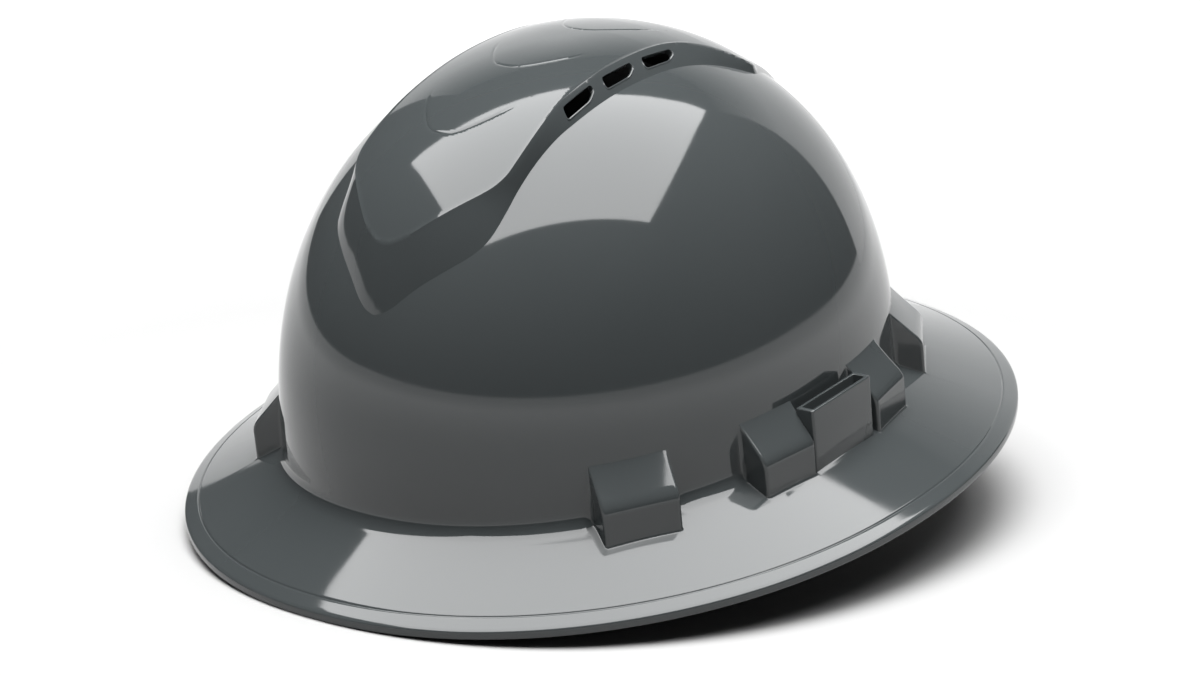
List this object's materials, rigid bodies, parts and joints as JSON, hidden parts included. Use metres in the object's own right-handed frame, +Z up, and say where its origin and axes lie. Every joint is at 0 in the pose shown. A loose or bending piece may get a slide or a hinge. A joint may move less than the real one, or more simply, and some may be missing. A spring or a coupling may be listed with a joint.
{
  "type": "full brim hard hat",
  "caption": "Vented full brim hard hat: glossy grey shell with a raised crest, rim all round, accessory slots, and a strap suspension with a ratchet headband.",
  "frame": {"origin": "on the table under the middle of the hat, which stands on its front rim and its ratchet", "axes": "-Y is the front of the hat, +X the wearer's left, +Z up from the table; the rim plane is tipped 8.29 degrees about X"},
  "size_m": [0.2852, 0.3216, 0.1786],
  "materials": {
    "shell_plastic": "high gloss moulded slate grey",
    "key_plastic": "moulded satin black",
    "crown_webbing": "woven charcoal webbing",
    "headband_plastic": "flexible satin black",
    "brow_fabric": "brushed terry over foam",
    "rivet_plastic": "moulded satin",
    "ratchet_plastic": "fine textured black",
    "screw_steel": "zinc plated",
    "pad_fabric": "knitted mesh over foam",
    "pinion_plastic": "natural acetal",
    "knob_plastic": "ribbed satin black"
  },
  "bodies": {
    "shell": {"shell": "shell_plastic", "suspension_key_front_left": "key_plastic", "suspension_key_front_right": "key_plastic", "suspension_key_rear_left": "key_plastic", "suspension_key_rear_right": "key_plastic", "height_stud_front_left": "rivet_plastic", "height_stud_front_right": "rivet_plastic", "height_stud_rear_left": "rivet_plastic", "height_stud_rear_right": "rivet_plastic", "crown_strap_left_front": "crown_webbing", "crown_strap_right_front": "crown_webbing"},
    "headband": {"headband": "headband_plastic", "brow_pad": "brow_fabric", "nape_strap_left": "headband_plastic", "nape_strap_right": "headband_plastic", "strap_rivets": "rivet_plastic"},
    "ratchet": {"ratchet_housing": "ratchet_plastic", "ratchet_cover": "ratchet_plastic", "ratchet_screws": "screw_steel", "nape_pad": "pad_fabric"},
    "knob": {"ratchet_pinion": "pinion_plastic", "detent_spring": "pinion_plastic", "ratchet_knob": "knob_plastic", "knob_screw": "screw_steel"}
  },
  "joints": [
    {"name": "headband_height", "type": "slide", "parent": "shell", "child": "headband", "axis": [0, -0.1441, 0.9896], "range_m": [-0.006, 0.006]},
    {"name": "ratchet_travel", "type": "slide", "parent": "headband", "child": "ratchet", "axis": [0, 0.9896, 0.1441], "range_m": [-0.02749, 0.01963], "deforming": ["nape_strap_left", "nape_strap_right"]},
    {"name": "knob_turn", "type": "hinge", "parent": "ratchet", "child": "knob", "pos_m": [0, 0.10361, 0.0222], "axis": [0, 0.9896, 0.1441], "range_deg": [-254, 181]}
  ],
  "couplings": [
    {"joint": "knob_turn", "follows": "ratchet_travel", "rad_per_m": 160}
  ]
}
